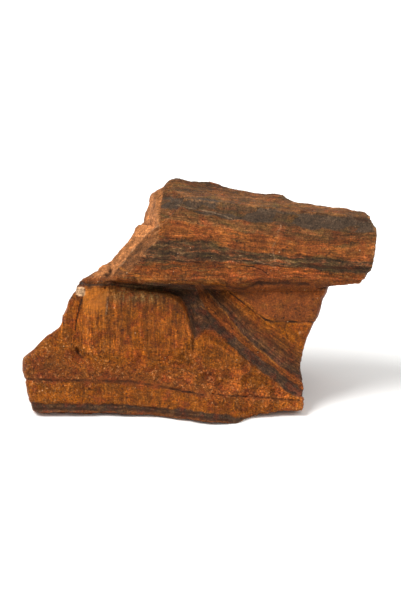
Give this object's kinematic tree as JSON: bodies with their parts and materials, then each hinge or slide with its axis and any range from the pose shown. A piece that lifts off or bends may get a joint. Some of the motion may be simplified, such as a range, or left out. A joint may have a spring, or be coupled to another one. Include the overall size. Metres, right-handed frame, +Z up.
{
  "type": "rough tiger's eye stone",
  "caption": "Rough, unpolished lump of banded tiger's eye quartz, with a bar-shaped ledge that overhangs a fibrous bulge, resting on a flat break.",
  "frame": {"origin": "middle of the stone's bounding box, on the flat break that it rests on", "axes": "+X along the ledge, from its left end to its right end seen from the front; -Y out of the broken front; +Z up"},
  "size_m": [0.1248, 0.0636, 0.0741],
  "materials": {
    "tigers_eye": "rough broken surface, dull to silky, banded brown, orange, gold and grey"
  },
  "bodies": {
    "root": {"tigers_eye": "tigers_eye"}
  },
  "joints": []
}
